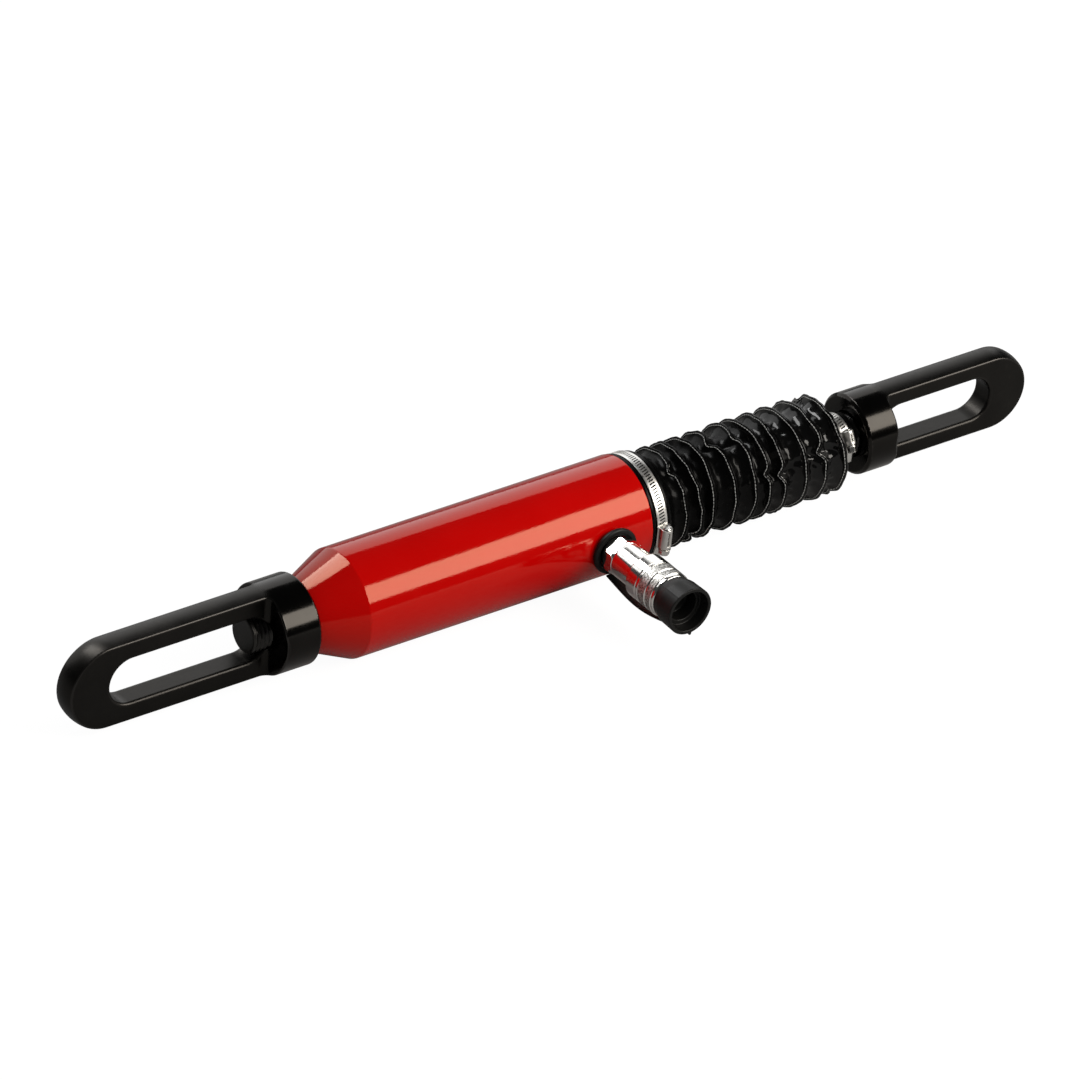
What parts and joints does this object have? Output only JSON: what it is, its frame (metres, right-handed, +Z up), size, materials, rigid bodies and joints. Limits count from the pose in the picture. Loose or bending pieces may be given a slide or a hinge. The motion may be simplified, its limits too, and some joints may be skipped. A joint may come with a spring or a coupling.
{
  "type": "hydraulic pull cylinder with slotted eyes",
  "caption": "Spring-return hydraulic pull cylinder with slotted eyes at both ends, a sewn bellows over its rod and a quick coupler under a rubber dust cap.",
  "frame": {"origin": "centre of the half-round pin seat at the outer end of the base eye's slot, midway between the eye's flats", "axes": "+X along the cylinder from the base eye to the rod eye, -Y along the coupler and square to the eyes' flats, +Z up"},
  "size_m": [0.8635, 0.182, 0.085],
  "materials": {
    "blackened_steel": "satin black oxide",
    "dark_fastener": "satin black oxide",
    "red_paint": "gloss enamel",
    "brass": "satin",
    "machined_steel": "turned",
    "spring_steel": "satin",
    "seal_rubber": "matte",
    "guide_plastic": "satin",
    "hard_chrome": "ground and polished",
    "bronze": "satin",
    "bellows_cloth": "glossy coated cloth with pale stitching",
    "stainless_band": "bright rolled",
    "stainless_screw": "bright",
    "copper": "satin",
    "plated_steel": "bright zinc plate",
    "coupler_chrome": "bright nickel plate",
    "knurled_chrome": "nickel plate over a diamond knurl",
    "cap_rubber": "moulded, matte"
  },
  "bodies": {
    "cylinder": {"base_eye": "blackened_steel", "base_eye_set_screw": "dark_fastener", "base_stud": "dark_fastener", "barrel": "red_paint", "breather_plug": "brass", "spring_seat": "machined_steel", "return_spring": "spring_steel", "head_nut": "machined_steel", "head_o_ring": "seal_rubber", "rod_bearing": "bronze", "rod_seal": "seal_rubber", "wiper_seal": "seal_rubber", "bellows_rear_cuff": "bellows_cloth", "bellows": "bellows_cloth", "rear_clamp_band": "stainless_band", "rear_clamp_housing": "stainless_band", "port_washer": "copper", "port_nipple": "plated_steel", "coupler_body": "coupler_chrome", "collar_snap_ring": "spring_steel", "coupler_o_ring": "seal_rubber", "poppet_spring": "spring_steel", "dust_cap_ring": "cap_rubber", "dust_cap_strap": "cap_rubber"},
    "rod": {"piston_rod": "hard_chrome", "piston": "machined_steel", "piston_seal": "seal_rubber", "piston_guide_ring": "guide_plastic", "piston_nut": "machined_steel", "rod_eye": "blackened_steel", "rod_eye_set_screw": "dark_fastener", "bellows_front_cuff": "bellows_cloth", "front_clamp_band": "stainless_band", "front_clamp_housing": "stainless_band"},
    "collar": {"coupler_collar": "knurled_chrome"},
    "poppet": {"coupler_poppet": "plated_steel"},
    "cap": {"dust_cap": "cap_rubber"},
    "rear_screw": {"rear_clamp_screw": "stainless_screw"},
    "front_screw": {"front_clamp_screw": "stainless_screw"}
  },
  "joints": [
    {"name": "rod_slide", "type": "slide", "parent": "cylinder", "child": "rod", "axis": [1, 0, 0], "range_m": [-0.14, 0], "stiffness_N_per_m": 1400, "springref_m": 0.07, "deforming": ["return_spring", "bellows"]},
    {"name": "collar_spin", "type": "hinge", "parent": "cylinder", "child": "collar", "pos_m": [0.4065, -0.096, 0], "axis": [0, -1, 0], "continuous": true},
    {"name": "poppet_slide", "type": "slide", "parent": "cylinder", "child": "poppet", "axis": [0, 1, 0], "range_m": [0, 0.003], "stiffness_N_per_m": 400, "springref_m": -0.005, "deforming": ["poppet_spring"]},
    {"name": "cap_pull", "type": "slide", "parent": "cylinder", "child": "cap", "axis": [0, -1, 0], "range_m": [0, 0.016], "deforming": ["dust_cap_strap"]},
    {"name": "rear_screw_spin", "type": "hinge", "parent": "cylinder", "child": "rear_screw", "pos_m": [0.4518, -0.04544, -0.00238], "axis": [0, -0.0523, 0.9986], "continuous": true},
    {"name": "front_screw_spin", "type": "hinge", "parent": "rod", "child": "front_screw", "pos_m": [0.637, -0.01957, 0.0113], "axis": [0, 0.5, 0.866], "continuous": true}
  ]
}
